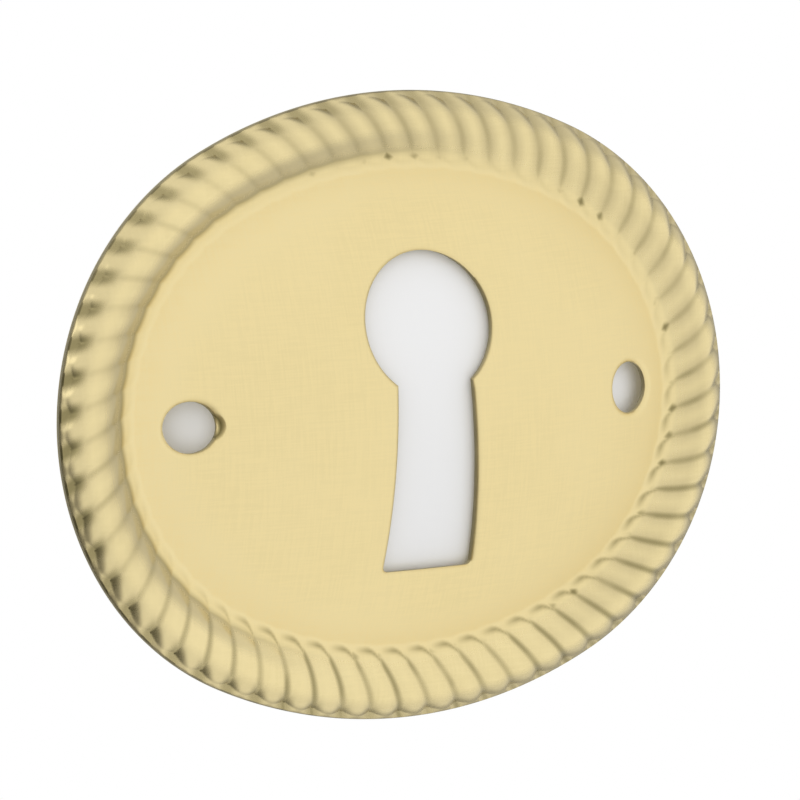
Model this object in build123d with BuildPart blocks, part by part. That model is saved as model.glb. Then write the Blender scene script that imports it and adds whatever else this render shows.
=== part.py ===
"""Keyhole escutcheon: an oval plate pressed from thin brass sheet, with a rope border.

X runs to the right, Z up, and the front faces -Y. The back of the plate lies on y = 0
and the origin is the middle of the oval.
"""
import os
from math import acos, atan2, cos, degrees, radians, sin, sqrt

from build123d import *

os.makedirs("parts", exist_ok=True)

# Oval outline of four tangent arcs, the long ones rising a little over the tops of the end ones
plate_width = 44.5
plate_height = 36.5
side_rise = 1.15
sheet = 0.6

# Rope border, its height taken from the back of the plate: its grooves are shallow over the
# crest and deeper at the sides
rim = 0.1
rope_width = 3.9
rope_height = 1.75
rope_root = 0.1
rope_slant = 26.0
lobe_pitch = 1.84
side_groove = 0.32
crest_groove = 0.12
first_groove = 0.72
channel_floor = 0.8

# Domed field inside the border, its curve up the plate drawn as narrow bands
border_width = 3.45
dome_rise = 4.8
dome_bands = 25

# Keyhole with a round head above a slot that widens downwards
head_diameter = 8.4
head_height = 5.0
slot_top_width = 4.75
slot_foot_width = 6.0
slot_foot_height = -9.3
slot_corner = 0.35

# Two fixing holes, with a nick beside the left one
hole_diameter = 3.0
hole_spacing = 29.5
nick_radius = 0.9
nick_shift = 0.92
nick_depth = 0.25

# Sizes that follow from the ones above
front = Vector(0, -1, 0)
end_radius = plate_height / 2 - side_rise
rope_inset = rim + rope_width / 2
rope_foot = sheet - rope_root
channel_reach = rope_width / 2 - sheet
channel_depth = rope_height - crest_groove - sheet
foot_x = plate_width / 2 - border_width
foot_z = plate_height / 2 - border_width
radius_x = (foot_x**2 + dome_rise**2) / (2 * dome_rise)
radius_z = (foot_z**2 + dome_rise**2) / (2 * dome_rise)
dome_axis = radius_x - dome_rise - sheet
arc_centre = (dome_axis + radius_x - radius_z, 0)
dome_arc = degrees(acos((radius_z - dome_rise - sheet) / radius_z)) + 2
nick_x = nick_shift - hole_spacing / 2
nick_floor = sqrt(radius_x**2 - nick_x**2) - dome_axis - nick_depth


def oval(inset):
    """Draw the outline, moved inwards by the inset."""
    half_width = plate_width / 2 - inset
    half_height = plate_height / 2 - inset
    end_r = end_radius - inset
    end_c = half_width - end_r
    side_r = (end_c**2 + half_height**2 - end_r**2) / (2 * (half_height - end_r))
    side_c = half_height - side_r
    turn = degrees(atan2(-side_c, end_c))
    CenterArc((end_c, 0), end_r, -turn, 2 * turn)
    CenterArc((0, side_c), side_r, turn, 180 - 2 * turn)
    CenterArc((-end_c, 0), end_r, 180 - turn, 2 * turn)
    CenterArc((0, -side_c), side_r, 180 + turn, 180 - 2 * turn)


def slanted_plane(share):
    """Give the plane of a rope section, at a share of the way round the border."""
    middle = rope_line @ share
    out = (rope_line % share).cross(front)
    if out.dot(middle) < 0:
        out = -out
    across = out * cos(radians(rope_slant)) + front.cross(out) * sin(radians(rope_slant))
    return Plane(middle, x_dir=across, z_dir=across.cross(front))


# Middle line of the rope, and the sections of its lobes: a groove, a shoulder, the middle and
# a shoulder, each with its place in the lobe and its share of the groove's depth
with BuildLine(Plane.XZ) as rope_path:
    oval(rope_inset)
rope_line = rope_path.wires()[0]
lobes = round(rope_line.length / lobe_pitch)
lobe = ((0, 1), (0.2, 0.25), (0.5, 0), (0.8, 0.25))
sections = []
for i in range(lobes):
    for place, depth in lobe:
        sections.append(((i + place + first_groove) / lobes, depth))
sections.append(sections[0])
halfway = len(lobe) * (lobes // 2)

# The rope is two runs of lobes that close into a ring
with BuildPart() as rope:
    for run in (sections[: halfway + 1], sections[halfway:]):
        for share, depth in run:
            reach = (rope_width / 2 - depth * side_groove) / cos(radians(rope_slant))
            crest = rope_height - depth * crest_groove
            with BuildSketch(slanted_plane(share % 1)):
                with BuildLine():
                    ThreePointArc((-reach, rope_foot), (0, crest), (reach, rope_foot))
                    Line((-reach, rope_foot), (reach, rope_foot))
                make_face()
        loft(ruled=True)

# Front of the dome: an arc up the plate, turned about an upright axis far behind it
with BuildPart() as field:
    with BuildSketch(Plane.YZ):
        with BuildLine():
            arc = CenterArc(arc_centre, radius_z, -dome_arc, 2 * dome_arc, mode=Mode.PRIVATE)
            Polyline(*[arc @ (i / dome_bands) for i in range(dome_bands + 1)], close=True)
        make_face()
    revolve(axis=Axis((0, dome_axis, 0), (0, 0, 1)))
    split(bisect_by=Plane.XZ, keep=Keep.TOP)

# Hollow behind the dome, one sheet further in and open at the back
with BuildPart() as hollow:
    with BuildSketch(Plane.YZ):
        with BuildLine():
            arc = CenterArc(arc_centre, radius_z - sheet, -dome_arc, 2 * dome_arc, mode=Mode.PRIVATE)
            Polyline(*[arc @ (i / dome_bands) for i in range(dome_bands + 1)], close=True)
        make_face()
    revolve(axis=Axis((0, dome_axis, 0), (0, 0, 1)))
    split(bisect_by=Plane.XZ.offset(-sheet), keep=Keep.TOP)

with BuildPart() as plate:
    # Flat sheet to the outline, under the border
    with BuildSketch(Plane.XZ):
        with BuildLine():
            oval(0)
        make_face()
    extrude(amount=sheet)
    add(rope.part)
    add(field.part)
    add(hollow.part, mode=Mode.SUBTRACT)
    # Channel pressed up behind the rope
    start = rope_line @ 0
    out = (rope_line % 0).cross(front)
    with BuildSketch(Plane(start, x_dir=out, z_dir=out.cross(front))):
        with BuildLine():
            Polyline(
                (-channel_reach, 0),
                (-channel_floor / 2, channel_depth),
                (channel_floor / 2, channel_depth),
                (channel_reach, 0),
                close=True,
            )
        make_face()
    sweep(path=rope_line, mode=Mode.SUBTRACT)
    # Keyhole and fixing holes, straight through from front to back
    with BuildSketch(Plane.XZ):
        with BuildLine():
            Polyline(
                (-slot_top_width / 2, head_height),
                (-slot_foot_width / 2, slot_foot_height),
                (slot_foot_width / 2, slot_foot_height),
                (slot_top_width / 2, head_height),
                close=True,
            )
        make_face()
        feet = vertices().sort_by(Axis.Y)[:2]
        fillet(feet, radius=slot_corner)
        with Locations((0, head_height)):
            Circle(head_diameter / 2)
        with GridLocations(hole_spacing, 0, 2, 1):
            Circle(hole_diameter / 2)
    extrude(amount=2 * dome_rise, mode=Mode.SUBTRACT)
    # Nick beside the left hole, not right through the sheet
    with BuildSketch(Plane.XZ.offset(nick_floor)):
        with Locations((nick_x, 0)):
            Circle(nick_radius)
    extrude(amount=dome_rise, mode=Mode.SUBTRACT)

plate.part.label = "escutcheon_plate"
export_step(plate.part, "parts/escutcheon_plate.step")
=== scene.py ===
"""Keyhole escutcheon in satin brass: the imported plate, dressed for its picture."""
import math

import bmesh
import bpy
from mathutils import Matrix, Vector
from mathutils.geometry import intersect_line_line


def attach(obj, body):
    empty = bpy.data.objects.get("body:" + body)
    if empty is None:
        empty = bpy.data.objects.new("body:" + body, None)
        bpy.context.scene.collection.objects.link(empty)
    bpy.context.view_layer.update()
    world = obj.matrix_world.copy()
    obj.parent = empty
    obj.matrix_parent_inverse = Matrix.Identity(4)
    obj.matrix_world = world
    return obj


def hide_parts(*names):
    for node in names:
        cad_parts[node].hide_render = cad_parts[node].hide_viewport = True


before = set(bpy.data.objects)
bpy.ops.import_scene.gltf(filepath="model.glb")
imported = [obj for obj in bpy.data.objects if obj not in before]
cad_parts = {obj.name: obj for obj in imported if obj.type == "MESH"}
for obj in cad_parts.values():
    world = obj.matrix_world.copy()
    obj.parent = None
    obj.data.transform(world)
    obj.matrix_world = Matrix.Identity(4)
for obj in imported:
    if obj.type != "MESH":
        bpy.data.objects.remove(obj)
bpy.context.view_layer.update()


# Rope border: a half-round ridge pressed up from the 0.6 mm brass sheet all round the oval,
# cut by slanting grooves into 63 lobes that look like a twisted rope. Sizes are in millimetres
# until the finished plate is brought to metres.
sheet = 0.6
rim_reach, rim_start = 2.05, 0.22
rim_rounding = ((0.015, 0.36), (0.06, 0.5))
rope_half, rope_height, rope_foot = 1.95, 1.75, 0.5
side_groove, crest_groove, groove_lean = 0.22, 0.12, 0.1
rope_slant = math.tan(math.radians(26))
lobes, lobe_columns, first_groove = 63, 16, 0.72
rope_rows, fold_rows = 16, 12
end_centre, end_radius = 5.15, 15.05
side_centre, side_radius = 10.9565, 27.1565
end_turn = math.atan2(side_centre, end_centre)
rope_arcs = (
    (end_centre, 0, end_radius, -end_turn, 2 * end_turn),
    (0, -side_centre, side_radius, end_turn, math.pi - 2 * end_turn),
    (-end_centre, 0, end_radius, math.pi - end_turn, 2 * end_turn),
    (0, side_centre, side_radius, math.pi + end_turn, math.pi - 2 * end_turn),
)
rope_length = sum(radius * sweep for _, _, radius, _, sweep in rope_arcs)
dome_radius_x, dome_radius_z, dome_axis = 39.2167, 25.2167, 33.8167

# Soft fold between the rope and the dome, a little wider at the right, and the places of its
# painted shade marks as shares of the way down it
least_turn, most_turn, small_turn = 0.3, 1.4, 0.01
fold_width, fold_gain, fold_run, dome_leg = 1.1, 0.1, 20, 0.7
groove_fall = 1.5
shade_start, shade_fall = 1.6, 4
pit_place, pit_reach = 0.4, 0.4
crease_place, crease_reach = 0.25, 0.2
hook_place, hook_reach, hook_start, hook_curl = 0.6, 0.2, -0.8, 0.2

# Each vertex carries its column round the border and the marks that the brass reads
plate = bmesh.new()
column = plate.verts.layers.int.new("column")
groove = plate.verts.layers.float.new("groove")
outer_end = plate.verts.layers.float.new("outer_end")
fold = plate.verts.layers.float.new("fold")
on_rope = plate.verts.layers.float.new("on_rope")
cut_edge = plate.verts.layers.float.new("cut_edge")
pit = plate.verts.layers.float.new("pit")
crease = plate.verts.layers.float.new("crease")
hook = plate.verts.layers.float.new("hook")


def on_border(place, reach, height):
    """Point of the border in a slanting column, at a reach out from the rope's middle line."""
    along = (place / lobe_columns + first_groove) * rope_length / lobes + reach * rope_slant
    along %= rope_length
    for across, up, radius, start, sweep in rope_arcs:
        if along <= radius * sweep:
            break
        along -= radius * sweep
    angle = start + along / radius
    x = across + (radius + reach) * math.cos(angle)
    z = up + (radius + reach) * math.sin(angle)
    return Vector((x, -height, z))


def lobe_side(place):
    """Where a column lies across its lobe, from -1 in one groove to 1 in the next."""
    return 2 * (place % lobe_columns) / lobe_columns - 1


def lobe_share(place):
    """How far a column lies from the middle of its lobe, 0, to the groove, 1."""
    return abs(lobe_side(place))


def rope_section(place):
    """Centre height, radius and shift inwards of the round section of the rope in a column."""
    drop = 1 - math.cos(lobe_share(place) * math.pi / 2)
    half = rope_half - side_groove * drop
    rise = rope_height - crest_groove * drop - rope_foot
    radius = (half**2 + rise**2) / (2 * rise)
    return rope_foot + rise - radius, radius, groove_lean * drop


def on_lobe(place, turn):
    """Point of the rope at a turn round its section, outwards from the crest."""
    centre, radius, lean = rope_section(place)
    return on_border(place, radius * math.sin(turn) - lean, centre + radius * math.cos(turn))


def dome_height(x, z, inset):
    """Height of the domed field above the back, on its front or an inset behind it."""
    radius = dome_radius_x - dome_radius_z + math.sqrt((dome_radius_z - inset) ** 2 - z**2)
    return math.sqrt(radius**2 - x**2) - dome_axis


def halved(low, high, passed):
    """Place between low and high where a test turns from false to true, by 24 halvings."""
    for _ in range(24):
        middle = (low + high) / 2
        if passed(middle):
            high = middle
        else:
            low = middle
    return low


def rope_turns(place):
    """Turns at which a column of the rope leaves the rim, enters the fold and meets the dome."""
    centre, radius, _ = rope_section(place)

    def under_dome(turn):
        spot = on_lobe(place, -turn)
        return -spot.y < dome_height(spot.x, spot.z, 0)

    inner = halved(least_turn, most_turn, under_dome)
    fold_reach = fold_width + fold_gain * on_lobe(place, -inner).x / fold_run
    return math.acos((sheet - centre) / radius), inner - fold_reach / radius, inner


def fold_points(place):
    """Start, corner and end of the soft fold that leads a column of the rope into the dome."""
    turn, inner = turns[place][1:]
    _, radius, lean = rope_section(place)
    start, meet = on_lobe(place, -turn), on_lobe(place, -inner)
    end = on_border(place, -radius * math.sin(inner) - lean - dome_leg * radius * (inner - turn), 0)
    end.y = -dome_height(end.x, end.z, 0)
    corner = intersect_line_line(start, on_lobe(place, -turn - small_turn), meet, end)[1]
    return start, corner, end


def pull_row(row, put):
    """Extrude a row of edges and put each new vertex in its place."""
    pulled = bmesh.ops.extrude_edge_only(plate, edges=row)["geom"]
    fresh = {v for v in pulled if isinstance(v, bmesh.types.BMVert)}
    for v in fresh:
        put(v)
    return [e for e in pulled if isinstance(e, bmesh.types.BMEdge) and set(e.verts) <= fresh]


def note(v, *shares):
    """Note on a vertex its shares of groove, outer end, fold, rope and cut edge."""
    for layer, share in zip((groove, outer_end, fold, on_rope, cut_edge), shares):
        v[layer] = share


def near(share, middle, reach):
    """1 at a middle share, falling to 0 at a reach from it."""
    return max(0, 1 - abs(share - middle) / reach)


def rim_row(reach, height):
    """Row of the rounded front edge of the rim, with painted shade where it runs past a groove."""

    def put(v):
        v.co = on_border(v[column], reach, height)
        note(v, lobe_share(v[column]), 1, 0, 1, 0)

    return put


def rope_row(share):
    """Row over the lobes, from 0 at the outer foot to 1 at the fold."""

    def put(v):
        outer, start, _ = turns[v[column]]
        v.co = on_lobe(v[column], outer - share * (outer + start))
        note(v, lobe_share(v[column]), max(0, 1 - 2 * share), max(0, 2 * share - 1), 1, 0)

    return put


def fold_row(share):
    """Row down the soft fold, from 0 at the rope to 1 on the dome."""

    def put(v):
        start, corner, end = fold_points(v[column])
        v.co = start.lerp(corner, share).lerp(corner.lerp(end, share), share)
        side = lobe_side(v[column])
        in_groove = abs(side) * max(0, 1 - groove_fall * share**2)
        note(v, in_groove, 0, max(0, min(1, shade_start - shade_fall * share)), 1 - share, 0)
        # Marks for painted shade in the pits, along the crease and at the grooves' hooked ends
        v[pit] = abs(side) * near(share, pit_place, pit_reach)
        v[crease] = near(share, crease_place, crease_reach)
        bend = hook_place * math.sqrt(1 - max(0, (side - hook_curl) / (1 - hook_curl)) ** 2)
        v[hook] = near(share, bend, hook_reach) * min(1, max(0, side - hook_start))

    return put


turns = [rope_turns(place) for place in range(lobes * lobe_columns)]
rim = bmesh.ops.create_circle(plate, segments=lobes * lobe_columns, radius=end_radius)["verts"]
for place, v in enumerate(rim):
    v[column] = place
    v[cut_edge] = 1
    v.co = on_border(place, rim_reach, rim_start)
outer_edge = list(dict.fromkeys(e for v in rim for e in v.link_edges))
front_foot = outer_edge
for inset, height in rim_rounding:
    front_foot = pull_row(front_foot, rim_row(rim_reach - inset, height))
for step in range(rope_rows + 1):
    front_foot = pull_row(front_foot, rope_row(step / rope_rows))
for step in range(1, fold_rows + 1):
    front_foot = pull_row(front_foot, fold_row(step / fold_rows))


# Domed field: the smooth middle of the plate, raised 4.8 mm in a shallow dome that is flatter
# along the plate than across it, and rubbed to a satin finish. It is drawn flat first and
# lifted to its curve once the holes are in it.
field_half_width, field_half_height = 17.55, 13.4
grid_half_width, grid_half_height = 18.5, 14.5
grid_columns, grid_rows = 120, 94
head_radius, head_height = 4.2, 5.0
slot_top_half, slot_foot_half, slot_foot_height = 2.375, 3.0, -9.3
hole_radius, hole_place = 1.5, 14.75
lip_width, lip_margin = 0.45, 0.2


def slot_half(z):
    """Half width of the keyhole's slot at a height."""
    share = (head_height - z) / (head_height - slot_foot_height)
    return slot_top_half + (slot_foot_half - slot_top_half) * share


def in_field(v):
    """True for a point of the flat field that is clear of its foot, the keyhole and the holes."""
    x, z = abs(v.co.x), v.co.z
    head = math.hypot(x, z - head_height) - head_radius
    slot = max(x - slot_half(z), slot_foot_height - z, z - head_height)
    hole = math.hypot(x - hole_place, z) - hole_radius
    clear = min(head, slot, hole) > lip_width + lip_margin
    return clear and (x / field_half_width) ** 2 + (z / field_half_height) ** 2 < 1


grid = bmesh.ops.create_grid(plate, x_segments=grid_columns, y_segments=grid_rows, size=1)["verts"]
for v in grid:
    v.co = Vector((v.co.x * grid_half_width, -sheet, v.co.y * grid_half_height))
field = [v for v in grid if in_field(v)]
bmesh.ops.delete(plate, geom=[v for v in grid if not in_field(v)], context="VERTS")
stray = [v for v in field if not v.link_faces]
field = [v for v in field if v.link_faces]
bmesh.ops.delete(plate, geom=stray, context="VERTS")
field_edges = [e for e in dict.fromkeys(e for v in field for e in v.link_edges) if e.is_boundary]
field_faces = list(dict.fromkeys(f for v in field for f in v.link_faces))


# Keyhole and fixing holes: a round head over a slot that widens downwards, and two plain nail
# holes on the middle line, pierced from the front, which draws their edges in and rounds them.
# A small nick is pressed in beside the left hole, whose lip is drawn finer for it.
lip = plate.verts.layers.float.new("lip")
nick = plate.verts.layers.float.new("nick")
lip_drop, lip_curve, lip_rings, nicked_rings = 0.24, 2.5, 6, 12
neck_level, head_steps = 1.42, 120
foot_corner, corner_steps = 0.83, 8
long_edge, long_cuts = 2, 30
hole_steps, wall_mark = 144, 0.8
nick_place, nick_radius, nick_wall, nick_depth = -13.83, 0.9, 0.3, 0.25


def pierce(face, rings):
    """Narrow a face ring by ring to the outline of a hole, noting how far each is drawn in."""
    collar = []
    for step in range(1, rings + 1):
        collar += bmesh.ops.inset_region(
            plate, faces=[face], thickness=lip_width / rings, use_boundary=True, use_even_offset=True
        )["faces"]
        for v in face.verts:
            v[lip] = lip_drop * (step / rings) ** lip_curve
    ring = [e for e in dict.fromkeys(e for f in collar for e in f.edges) if e.is_boundary]
    outline = list(face.edges)
    bmesh.ops.delete(plate, geom=[face], context="FACES_ONLY")
    return ring, outline, collar


neck_half = slot_half(neck_level) + lip_width
neck_turn = math.asin(neck_half / (head_radius + lip_width))
neck_height = head_height - math.cos(neck_turn) * (head_radius + lip_width)
neck = bmesh.ops.create_vert(plate, co=(neck_half, -sheet, neck_height))["vert"]
bmesh.ops.spin(
    plate,
    geom=neck,
    cent=(0, -sheet, head_height),
    axis=(0, -1, 0),
    angle=2 * math.pi - 2 * neck_turn,
    steps=head_steps,
)
neck_ends = [v for v in plate.verts if v.is_wire and len(v.link_edges) == 1]
neck_ends.sort(key=lambda v: v.co.x)
feet = [
    bmesh.ops.create_vert(
        plate, co=(side * (slot_foot_half + lip_width), -sheet, slot_foot_height - lip_width)
    )["vert"][0]
    for side in (-1, 1)
]
plate.edges.new((neck_ends[0], feet[0]))
plate.edges.new((neck_ends[1], feet[1]))
plate.edges.new(feet)
bmesh.ops.bevel(
    plate,
    geom=feet,
    offset=foot_corner,
    offset_type="OFFSET",
    segments=corner_steps,
    profile=0.5,
    affect="VERTICES",
    material=-1,
)
long_edges = [e for e in plate.edges if e.is_wire and e.calc_length() > long_edge]
bmesh.ops.subdivide_edges(plate, edges=long_edges, cuts=long_cuts)
keyhole = bmesh.ops.contextual_create(plate, geom=[e for e in plate.edges if e.is_wire])["faces"]
pierced = [pierce(keyhole[0], lip_rings)]
for side, rings in ((-1, nicked_rings), (1, lip_rings)):
    stand = Matrix.Translation((side * hole_place, -sheet, 0)) @ Matrix.Rotation(math.pi / 2, 4, "X")
    disc = bmesh.ops.create_circle(
        plate, cap_ends=True, segments=hole_steps, radius=hole_radius + lip_width, matrix=stand
    )
    pierced.append(pierce(disc["verts"][0].link_faces[0], rings))


def split_loops(edges):
    """Separate loops of some edges, from left to right."""
    left, loops = dict.fromkeys(edges), []
    while left:
        loop, fresh = [], [next(iter(left))]
        while fresh:
            loop += fresh
            for e in fresh:
                del left[e]
            beside = (n for e in fresh for v in e.verts for n in v.link_edges)
            fresh = [n for n in dict.fromkeys(beside) if n in left]
        loops.append(loop)
    return sorted(loops, key=lambda loop: max(v.co.x for e in loop for v in e.verts))


left_gap, key_gap, right_gap, outside = split_loops(field_edges)
for gap, (ring, _, collar) in zip((key_gap, left_gap, right_gap), pierced):
    filled = bmesh.ops.triangle_fill(plate, use_beauty=True, edges=gap + ring)["geom"]
    field_faces += [f for f in filled if isinstance(f, bmesh.types.BMFace)] + collar
twin = bmesh.ops.duplicate(plate, geom=field_faces)
back_faces = [f for f in twin["geom"] if isinstance(f, bmesh.types.BMFace)]
back_outside = [twin["edge_map"][e] for e in outside]
foot_heights = {v: v.co.y for e in front_foot for v in e.verts}
for v in foot_heights:
    v.co.y = -sheet
bmesh.ops.triangle_fill(plate, use_beauty=True, edges=front_foot + outside)
for v, height in foot_heights.items():
    v.co.y = height

nick_floor = dome_height(nick_place, 0, 0) - nick_depth
for v in {v for f in field_faces for v in f.verts}:
    height = dome_height(v.co.x, v.co.z, 0) - v[lip]
    sunk = (nick_radius - math.hypot(v.co.x - nick_place, v.co.z)) / nick_wall
    sunk = min(1, max(0, sunk))
    v[nick] = 1 - abs(2 * sunk - 1)
    v.co.y = -min(height, height + sunk * (nick_floor - height))


def wall_row(v):
    """Row at the back of a hole's wall."""
    v.co.y = -dome_height(v.co.x, v.co.z, sheet)
    v[cut_edge] = wall_mark


for _, outline, _ in pierced:
    for v in {v for e in outline for v in twin["edge_map"][e].verts}:
        v[cut_edge] = wall_mark
    pull_row(outline, wall_row)


# Back of the pressing: hollow behind the dome and the rope, with the sheet's own thickness left
# everywhere, a flat rim that lies on the furniture, and the cut edge of the sheet round it.
edge_rounding, rim_flat = 0.05, 2
channel_half, channel_floor_half, channel_depth = 1.35, 0.4, 1.03
least_hollow, most_hollow = 1.3, 3
merge_distance, millimetre = 0.0005, 0.001
sharp_angle = math.radians(48)


def flat_row(reach, height):
    """Row that keeps one reach and one height all round."""

    def put(v):
        v.co = on_border(v[column], reach, height)
        note(v, 0, 0, 0, 0, 0)

    return put


def hollow_foot(v):
    """Row where the hollow of the dome opens in the flat back."""

    def in_hollow(reach):
        spot = on_border(v[column], -reach, 0)
        return dome_height(spot.x, spot.z, sheet) > 0

    v.co = on_border(v[column], -halved(least_hollow, most_hollow, in_hollow), 0)


row = pull_row(outer_edge, flat_row(rim_reach, edge_rounding))
for reach, height in (
    (rim_flat, 0),
    (channel_half, 0),
    (channel_floor_half, channel_depth),
    (-channel_floor_half, channel_depth),
    (-channel_half, 0),
):
    row = pull_row(row, flat_row(reach, height))
back_foot = pull_row(row, hollow_foot)
for v in {v for f in back_faces for v in f.verts}:
    v.co.y = 0
bmesh.ops.triangle_fill(plate, use_beauty=True, edges=back_foot + back_outside)
for v in {v for f in back_faces for v in f.verts}:
    v.co.y = -dome_height(v.co.x, v.co.z, sheet)

bmesh.ops.remove_doubles(plate, verts=plate.verts, dist=merge_distance)
bmesh.ops.recalc_face_normals(plate, faces=plate.faces)
bmesh.ops.scale(plate, vec=(millimetre, millimetre, millimetre), verts=plate.verts)
for f in plate.faces:
    f.smooth = True
brass_plate_mesh = bpy.data.meshes.new("brass_plate")
plate.to_mesh(brass_plate_mesh)
plate.free()
brass_plate_mesh.set_sharp_from_angle(angle=sharp_angle)
brass_plate = bpy.data.objects.new("brass_plate", brass_plate_mesh)
bpy.context.scene.collection.objects.link(brass_plate)
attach(brass_plate, "root")
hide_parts("escutcheon_plate")


# Satin brass: plain yellow brass under clear lacquer, rubbed fine in two directions, and dark on its cut
# edges, where the polish never reached. Painted shade darkens the grooves, the pits at their ends, the
# crease at the left, the nick, the rope's top and ends, its inner slope at the left and its rim at the
# right, and a painted highlight makes the field's brim paler.
rubbed_deep, rubbed_pale = (0.825, 0.69, 0.36), (0.865, 0.727, 0.386)
# Cloud colour for uneven tone; the brim colour is a painted highlight on the field's edge
cloud_yellow, brim_light_yellow = (0.875, 0.74, 0.405), (0.94, 0.825, 0.5)
# Painted shade colours for the rope's top and ends, and for its inner slope at the left and rim at the
# right
rope_shade_brass, slope_shade_brass = (0.45, 0.375, 0.205), (0.47, 0.395, 0.21)
# Painted shade colour for the grooves, pits, crease and nick, and the dull colour of the cut edges
shade_brown, cut_brown = (0.22, 0.185, 0.075), (0.33, 0.31, 0.22)
brim_half_width, brim_half_height = 18.6, 14.7
tilt, crease_strength, cut_dullness = -0.4, 0.5, 0.7
rope_polish, brim_grain, shade_grain = -0.48, 0.2, 0.15
upright_rub, level_rub = (9000, 500, 500), (500, 500, 9000)
cloud_waves, groove_waves, pit_waves = (120, 120, 120), (220, 220, 220), (350, 350, 350)

brass = bpy.data.materials.new("satin_brass")
brass.use_nodes = True
nodes, links = brass.node_tree.nodes, brass.node_tree.links
shader = nodes["Principled BSDF"]
nodes.new("ShaderNodeTexCoord")


def read_mark(name):
    """Value that the plate's vertices carry under a name."""
    mark = nodes.new("ShaderNodeAttribute")
    mark.attribute_name = name
    return mark.outputs["Fac"]


def sum_of(kind, first, second):
    """Result of a sum of two values or sockets."""
    step = nodes.new("ShaderNodeMath")
    step.operation = kind
    for socket, value in zip(step.inputs, (first, second)):
        if isinstance(value, float):
            socket.default_value = value
        else:
            links.new(value, socket)
    return step.outputs["Value"]


def times(first, second):
    """Product of two values or sockets."""
    return sum_of("MULTIPLY", first, second)


def greater(first, second):
    """Greater one of two values or sockets."""
    return sum_of("MAXIMUM", first, second)


def fade(value, low, high, start, end):
    """Soft step of a value from start to end while it goes from low to high."""
    step = nodes.new("ShaderNodeMapRange")
    step.interpolation_type = "SMOOTHSTEP"
    links.new(value, step.inputs["Value"])
    for name, number in (("From Min", low), ("From Max", high), ("To Min", start), ("To Max", end)):
        step.inputs[name].default_value = number
    return step.outputs["Result"]


def tint(amount, under, over):
    """Mix of two colours by an amount."""
    blend = nodes.new("ShaderNodeMix")
    blend.data_type = "RGBA"
    links.new(amount, blend.inputs["Factor"])
    for socket, colour in ((blend.inputs["A"], under), (blend.inputs["B"], over)):
        if isinstance(colour, tuple):
            socket.default_value = (*colour, 1)
        else:
            links.new(colour, socket)
    return blend.outputs["Result"]


def over_plate(scale):
    """Place on the plate, scaled along each direction."""
    stretch = nodes.new("ShaderNodeMapping")
    stretch.inputs["Scale"].default_value = scale
    links.new(nodes["Texture Coordinate"].outputs["Object"], stretch.inputs["Vector"])
    return stretch.outputs["Vector"]


def uneven(waves):
    """Uneven pattern over the plate, by its waves to the metre along each direction."""
    pattern = nodes.new("ShaderNodeTexNoise")
    pattern.inputs["Scale"].default_value = 1
    pattern.inputs["Detail"].default_value = 3
    links.new(over_plate(waves), pattern.inputs["Vector"])
    return pattern.outputs["Fac"]


groove_mark, end_mark, fold_mark = read_mark("groove"), read_mark("outer_end"), read_mark("fold")
rope_mark, cut_mark = read_mark("on_rope"), read_mark("cut_edge")
parted = nodes.new("ShaderNodeSeparateXYZ")
links.new(nodes["Texture Coordinate"].outputs["Object"], parted.inputs["Vector"])
across, up = parted.outputs["X"], parted.outputs["Z"]
tilted = sum_of("ADD", across, times(up, tilt))
leftward = fade(across, -0.014, 0.012, 1.0, 0.15)
far_left = fade(tilted, -0.014, 0.002, 1.0, 0.0)
rightward = fade(across, -0.005, 0.014, 0.4, 1.0)

# Painted shade along the top of the rope and at its two ends, palest in the middle of each lobe
top_shade = times(rope_mark, fade(up, 0.006, 0.016, 0.1, 0.37))
top_shade = times(top_shade, fade(groove_mark, 0.0, 0.9, 0.4, 1.6))
top_shade = times(top_shade, fade(across, -0.012, -0.002, 0.3, 1.0))
end_shade = greater(
    fade(sum_of("ABSOLUTE", across, 0.0), 0.013, 0.0195, 0.0, 1.0), fade(across, 0.004, 0.014, 0.0, 0.9)
)
end_shade = times(times(rope_mark, end_shade), fade(fold_mark, 0.0, 0.6, 0.15, 0.45))
end_shade = times(end_shade, fade(groove_mark, 0.0, 0.9, 0.65, 1.35))

# Painted shade in the grooves, their hooked ends, the pits, the crease at the left and the nick
groove_shade = times(fade(groove_mark, 0.6, 1.0, 0.0, 0.5), fade(tilted, -0.016, -0.002, 0.5, 1.0))
groove_shade = times(groove_shade, fade(uneven(groove_waves), 0.4, 0.6, 0.65, 1.15))
groove_shade = times(groove_shade, fade(up, -0.012, 0.013, 1.25, 0.6))
hook_shade = times(read_mark("hook"), fade(up, -0.006, 0.006, 0.6, 0.08))
hook_shade = times(hook_shade, fade(tilted, -0.012, -0.003, 0.1, 1.0))
crease_shade = times(read_mark("crease"), times(far_left, crease_strength))
inner_pit_shade = times(fade(read_mark("pit"), 0.45, 0.9, 0.0, 0.85), fade(across, -0.008, -0.002, 0.0, 1.0))
inner_pit_shade = times(fade(uneven(pit_waves), 0.48, 0.62, 0.05, 1.0), inner_pit_shade)
outer_pit_shade = times(fade(groove_mark, 0.2, 0.85, 0.0, 0.88), fade(end_mark, 0.2, 0.75, 0.0, 1.0))
outer_pit_shade = times(outer_pit_shade, fade(up, 0.002, 0.012, 1.0, 0.75))
outer_pit_shade = times(outer_pit_shade, fade(up, -0.013, -0.003, 0.65, 1.0))
outer_pit_shade = times(leftward, outer_pit_shade)
shade_lines = greater(groove_shade, greater(hook_shade, crease_shade))
painted_shade = greater(greater(shade_lines, inner_pit_shade), greater(outer_pit_shade, read_mark("nick")))

# Painted shade on the inner slope at the left and along the rim at the right
slope_shade = greater(
    times(far_left, fade(fold_mark, 0.35, 0.85, 0.0, 0.8)),
    times(rightward, fade(end_mark, 0.0, 0.5, 0.0, 0.62)),
)

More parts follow.
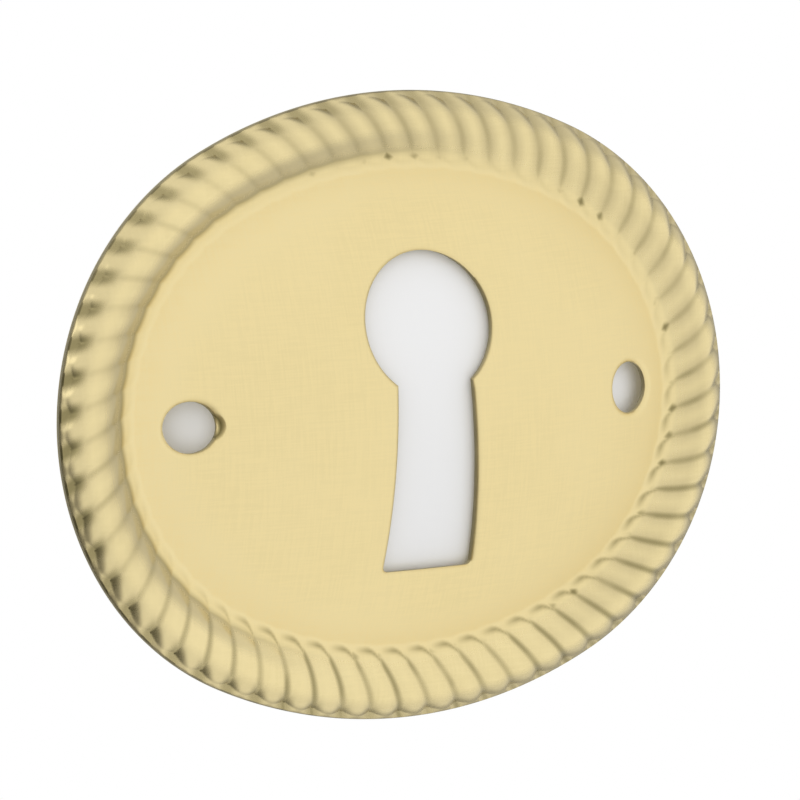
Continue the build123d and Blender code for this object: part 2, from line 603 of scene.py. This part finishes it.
# Brim of the field: a painted highlight makes it paler than its middle, and it is less smooth
from_middle = nodes.new("ShaderNodeVectorMath")
from_middle.operation = "LENGTH"
links.new(over_plate((1000 / brim_half_width, 0, 1000 / brim_half_height)), from_middle.inputs[0])
brim = fade(from_middle.outputs["Value"], 0.78, 0.96, 0.0, 1.0)

rub = sum_of("ADD", uneven(level_rub), uneven(upright_rub))
yellow = tint(fade(rub, 0.75, 1.25, 0.0, 1.0), rubbed_deep, rubbed_pale)
yellow = tint(fade(uneven(cloud_waves), 0.35, 0.65, 0.0, 0.35), yellow, cloud_yellow)
yellow = tint(times(brim, fade(rope_mark, 0.0, 0.5, 0.6, 0.0)), yellow, brim_light_yellow)
# Painted shade laid over the yellow: rope top and ends, its slopes, then grooves, pits, crease and nick
shaded_yellow = tint(greater(top_shade, end_shade), yellow, rope_shade_brass)
shaded_yellow = tint(slope_shade, shaded_yellow, slope_shade_brass)
deep_shaded_yellow = tint(painted_shade, shaded_yellow, shade_brown)
links.new(tint(cut_mark, deep_shaded_yellow, cut_brown), shader.inputs["Base Color"])
bare = sum_of("SUBTRACT", 1.0, greater(slope_shade, times(cut_mark, cut_dullness)))
links.new(bare, shader.inputs["Metallic"])
grain = sum_of("ADD", fade(rub, 0.7, 1.3, 0.44, 0.52), times(rope_mark, rope_polish))
grain = sum_of("ADD", grain, times(brim, brim_grain))
links.new(sum_of("ADD", grain, times(painted_shade, shade_grain)), shader.inputs["Roughness"])
brass_plate_mesh.materials.append(brass)


# Paper behind the plate: the pale sheet that shows through the holes. It is smaller than the
# plate and seen only from the front, so the back of the plate stays open to view.
paper_half_width, paper_half_height, paper_back = 17.8, 13.6, -0.05
paper_columns, paper_rows = 50, 40
near_gap, far_gap, gap_lean = 0.25, 0.55, 0.3
paper_mesh = bpy.data.meshes.new("paper")
paper_shape = bmesh.new()
leaf = bmesh.ops.create_grid(paper_shape, x_segments=paper_columns, y_segments=paper_rows, size=1)["verts"]
bmesh.ops.delete(paper_shape, geom=[v for v in leaf if v.co.length > 1], context="VERTS")
for v in paper_shape.verts:
    x, z = paper_half_width * v.co.x, paper_half_height * v.co.y
    gap = near_gap + far_gap * (x / hole_place) ** 2 * (1 - gap_lean * x / hole_place)
    v.co = Vector((x, min(paper_back, gap - dome_height(x, z, sheet)), z))
bmesh.ops.scale(paper_shape, vec=(millimetre, millimetre, millimetre), verts=paper_shape.verts)
paper_shape.to_mesh(paper_mesh)
paper_shape.free()
paper = bpy.data.objects.new("paper", paper_mesh)
bpy.context.scene.collection.objects.link(paper)
paper.visible_glossy = False
paper.visible_diffuse = False
paper.visible_shadow = False
white_paper = bpy.data.materials.new("white_paper")
white_paper.use_nodes = True
nodes, links = white_paper.node_tree.nodes, white_paper.node_tree.links
paper_front = nodes["Principled BSDF"]
paper_front.inputs["Base Color"].default_value = (0.88, 0.88, 0.88, 1)
paper_front.inputs["Roughness"].default_value = 1
clear = nodes.new("ShaderNodeBsdfTransparent")
facing = nodes.new("ShaderNodeNewGeometry")
one_sided = nodes.new("ShaderNodeMixShader")
links.new(facing.outputs["Backfacing"], one_sided.inputs["Fac"])
links.new(paper_front.outputs["BSDF"], one_sided.inputs[1])
links.new(clear.outputs["BSDF"], one_sided.inputs[2])
links.new(one_sided.outputs["Shader"], nodes["Material Output"].inputs["Surface"])
paper_mesh.materials.append(white_paper)


# Floor: a plain pale floor well below the plate. The camera sees it almost white, with what is
# left of its own colour to hold the plate's shadow.
floor_half, floor_depth = 0.4, 0.3
floor_white, white_share = 1.06, 0.85
floor_mesh = bpy.data.meshes.new("floor")
floor_shape = bmesh.new()
bmesh.ops.create_grid(floor_shape, x_segments=1, y_segments=1, size=floor_half)
bmesh.ops.translate(floor_shape, vec=(0, 0, -floor_depth), verts=floor_shape.verts)
floor_shape.to_mesh(floor_mesh)
floor_shape.free()
floor = bpy.data.objects.new("floor", floor_mesh)
bpy.context.scene.collection.objects.link(floor)
floor.visible_glossy = False
pale_floor = bpy.data.materials.new("pale_floor")
pale_floor.use_nodes = True
nodes, links = pale_floor.node_tree.nodes, pale_floor.node_tree.links
floor_top = nodes["Principled BSDF"]
floor_top.inputs["Base Color"].default_value = (0.9, 0.9, 0.9, 1)
floor_top.inputs["Roughness"].default_value = 1
seen = nodes.new("ShaderNodeLightPath")
bright = nodes.new("ShaderNodeEmission")
bright.inputs["Strength"].default_value = floor_white
whitened = nodes.new("ShaderNodeMixShader")
links.new(times(seen.outputs["Is Camera Ray"], white_share), whitened.inputs["Fac"])
links.new(floor_top.outputs["BSDF"], whitened.inputs[1])
links.new(bright.outputs["Emission"], whitened.inputs[2])
links.new(whitened.outputs["Shader"], nodes["Material Output"].inputs["Surface"])
floor_mesh.materials.append(pale_floor)


# Light: a white tent all round, greyer behind the plate, with a brighter pane at the left and an
# opening low on the left, where the dark room shows in the ends of the lobes.
world = bpy.data.worlds.new("white_tent")
bpy.context.scene.world = world
world.use_nodes = True
nodes, links = world.node_tree.nodes, world.node_tree.links
nodes.new("ShaderNodeTexCoord")


def tent_toward(direction, low, high, level):
    """Light of the tent, 1 all round and going to a level towards a direction."""
    aim = nodes.new("ShaderNodeVectorMath")
    aim.operation = "DOT_PRODUCT"
    aim.inputs[1].default_value = Vector(direction).normalized()
    links.new(nodes["Texture Coordinate"].outputs["Generated"], aim.inputs[0])
    return fade(aim.outputs["Value"], low, high, 1.0, level)


grey_back = tent_toward((0, 1, 0), 0.05, 0.5, 0.35)
dark_room = tent_toward((-0.75, 0.5, -0.45), 0.5, 0.87, 0.1)
bright_pane = tent_toward((-0.86, 0.0, 0.3), 0.95, 0.99, 1.6)
tent_light = times(grey_back, times(dark_room, bright_pane))
seen = nodes.new("ShaderNodeLightPath")
background = nodes["Background"]
background.inputs["Color"].default_value = (1, 1, 1, 1)
links.new(greater(tent_light, seen.outputs["Is Camera Ray"]), background.inputs["Strength"])


# Camera: a long lens from the left of the plate and a little above it, where the photograph
# was taken from.
camera_data = bpy.data.cameras.new("camera")
camera_data.lens = 465.47
camera_data.sensor_width = 36
camera = bpy.data.objects.new("camera", camera_data)
camera.location = (-0.30275, -0.51453, 0.06004)
camera.rotation_euler = (math.radians(84.2781), math.radians(1.9033), math.radians(-30.706))
bpy.context.scene.collection.objects.link(camera)
bpy.context.scene.camera = camera
bpy.context.scene.view_settings.view_transform = "Standard"
